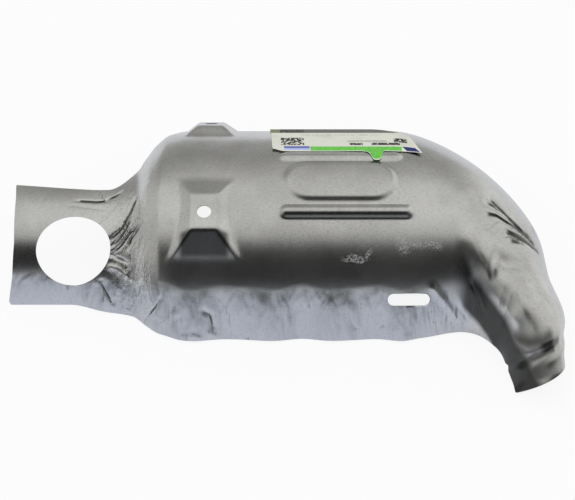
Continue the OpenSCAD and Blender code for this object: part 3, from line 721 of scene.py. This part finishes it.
tint = blend(steps(noise(sheet, 0.06, 3), 0.45, 0.75), inks["paper"], inks["stain"])
cells = nodes.new("ShaderNodeTexWhiteNoise")
cells.noise_dimensions = "2D"
feed(cells.inputs["Vector"], vector("SNAP", sheet, (0.95, 1.2, 1)))
mottled = calc("MULTIPLY", field(6.4, 21.8, 8.6, 21.5), calc("GREATER_THAN", cells.outputs["Value"], 0.36))
slanted = calc("ADD", across, calc("MULTIPLY", above, 0.5))
for share, ink in (
        (field(8.4, 25.2, 4.2, 6.8), "violet"), (field(8.4, 25.2, 1.6, 4.2), "paleBlue"),
        (mottled, "dark"),
        (dashes(field(19.9, 65.3, 27.2, 28.8), 0.4, 0.5, 3), "grey"),
        (dashes(field(50.8, 77.1, 13.9, 16.3), 0.3, 0.4, 11), "grey"),
        (dashes(field(52.1, 60.7, 8.6, 11.8), 0.3, 0.42, 21), "dark"),
        (dashes(field(66.6, 85.5, 8.6, 12.2), 0.3, 0.42, 31), "dark"),
        (dashes(field(82.0, 90.5, 13.0, 20.5), 0.36, 0.46, 41), "dark"),
        (field(0, 110, 34.5, 60), "olive"), (field(-2, 6, 34.5, 60), "oliveGreen"),
        (calc("MULTIPLY", field(6, 22.4, 34.5, 60), steps(noise(sheet, 0.4, 2), 0.4, 0.45)), "dark"),
        (field(86.6, 99.4, -3, 7.4, slanted), "border"), (field(89.8, 98.2, -1.6, 6.5, slanted), "navy"),
        (field(25.8, 86.4, -14, 6.4), "green")):
    tint = blend(share, tint, inks[ink])
darker = calc("MULTIPLY", field(25.8, 86.4, -14, 6.4), steps(noise(sheet, 0.55, 3, 0.7), 0.47, 0.62))
tint = blend(calc("MULTIPLY", darker, 0.55), tint, inks["greenDark"])
tint = blend(calc("MULTIPLY", calc("LESS_THAN", attribute("lowEdge"), 0.7), 0.85), tint, inks["border"])
links.new(tint, shader.inputs["Base Color"])
links.new(calc("ADD", 0.5, calc("MULTIPLY", noise(sheet, 0.3, 3), 0.2)), shader.inputs["Roughness"])
shader.inputs["Specular IOR Level"].default_value = 0.25
feed(shader.inputs["Normal"], bump(noise(sheet, 0.09, 3, 0.6, distortion=0.5), 0.0012))
paper.data.materials.clear()
paper.data.materials.append(paperInk)
print("label printed")

for piece, node, name in ((shield, "shield", "pressed_steel"), (paper, "label", "label_paper")):
    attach(piece, "root")
    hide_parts(node)

# Floor, light and camera
studio = {"floorSize": 8, "floor": (0.86, 0.86, 0.87, 1), "seenWhite": (1, 1, 1, 1), "mirrored": (0.74, 0.77, 0.86, 1),
          "whiteShare": 0.88, "mirroredShare": 0.45, "gapLeft": (0.48, 0.8), "gapRight": (0.26, 0.5), "plainLight": 1.0}
bpy.ops.object.select_all(action="DESELECT")
bpy.ops.mesh.primitive_plane_add(size=studio["floorSize"], location=(0, 0, cadBounds[0][2] - 0.0002))
floor = bpy.context.active_object
floor.name = "floor"
whiteFloor, shader = material("white floor")
shader.inputs["Base Color"].default_value = studio["floor"]
shader.inputs["Roughness"].default_value = 0.9
shader.inputs["Specular IOR Level"].default_value = 0.1
light = nodes.new("ShaderNodeEmission")
mix = nodes.new("ShaderNodeMixShader")
path = nodes.new("ShaderNodeLightPath")
feed(light.inputs["Color"], blend(path.outputs["Is Glossy Ray"], studio["seenWhite"], studio["mirrored"]))
inMirror = calc("MAXIMUM", path.outputs["Is Glossy Ray"], path.outputs["Is Transmission Ray"])
seen = calc("MAXIMUM", calc("MULTIPLY", path.outputs["Is Camera Ray"], studio["whiteShare"]),
            calc("MULTIPLY", inMirror, studio["mirroredShare"]))
links.new(seen, mix.inputs["Fac"])
links.new(shader.outputs[0], mix.inputs[1])
links.new(light.outputs[0], mix.inputs[2])
links.new(mix.outputs[0], nodes["Material Output"].inputs["Surface"])
floor.data.materials.append(whiteFloor)

# The studio round the object: soft boxes above, an open dark gap between them low in front
world = bpy.data.worlds.new("studio")
bpy.context.scene.world = world
world.use_nodes = True
nodes, links = world.node_tree.nodes, world.node_tree.links
coordinate = nodes.new("ShaderNodeTexCoord")
split = nodes.new("ShaderNodeSeparateXYZ")
links.new(coordinate.outputs["Generated"], split.inputs[0])
around = calc("MULTIPLY_ADD", calc("ARCTAN2", split.outputs["Y"], split.outputs["Z"]), 0.5 / math.pi, 0.5)


def lightRamp(stops):
    node = nodes.new("ShaderNodeValToRGB")
    node.color_ramp.interpolation = "EASE"
    while len(node.color_ramp.elements) < len(stops):
        node.color_ramp.elements.new(0.5)
    for element, (degrees, level) in zip(node.color_ramp.elements, stops):
        element.position = (degrees + 180) / 360
        cool = 0.05 if degrees < -56 else 0
        element.color = (level * (1 - cool), level, level * (1 + 2 * cool), 1)
    links.new(around, node.inputs[0])
    return node.outputs[0]


middle = lightRamp([(-180, 0.8), (-95, 0.75), (-62, 0.7), (-50.5, 0.02), (-21, 0.02), (-8, 0.62), (10, 0.76), (32, 0.7),
                    (52, 0.44), (64, 0.34), (90, 0.42), (108, 0.7), (180, 0.8)])
left = lightRamp([(-180, 0.6), (-96, 0.75), (-79, 0.18), (-58, 0.18), (-38, 0.34), (-18, 0.48), (0, 0.52), (45, 0.58),
                  (90, 0.56), (120, 0.6), (180, 0.6)])
right = lightRamp([(-180, 0.8), (-90, 0.7), (-78, 0.5), (-56, 0.12), (-28, 0.2), (-8, 0.5), (12, 0.68), (36, 0.78),
                   (90, 0.85), (120, 1), (180, 0.9)])
toLeft = steps(calc("MULTIPLY", split.outputs["X"], -1), *studio["gapLeft"])
toRight = steps(split.outputs["X"], *studio["gapRight"])
seenBox = blend(toRight, blend(toLeft, middle, left), right)
path = nodes.new("ShaderNodeLightPath")
evenLight = (studio["plainLight"], studio["plainLight"], studio["plainLight"], 1)
feed(nodes["Background"].inputs["Color"], blend(path.outputs["Is Diffuse Ray"], seenBox, evenLight))

eye = {"place": (0.0525, -0.6424, 0.6080), "tilt": 45, "lens": 88.04, "sensor": 36}
cameraData = bpy.data.cameras.new("photo view")
cameraData.lens = eye["lens"]
cameraData.sensor_width = eye["sensor"]
camera = bpy.data.objects.new("photo view", cameraData)
bpy.context.collection.objects.link(camera)
camera.location = eye["place"]
camera.rotation_euler = (math.radians(eye["tilt"]), 0, 0)
bpy.context.scene.camera = camera
bpy.context.scene.view_settings.view_transform = "Standard"
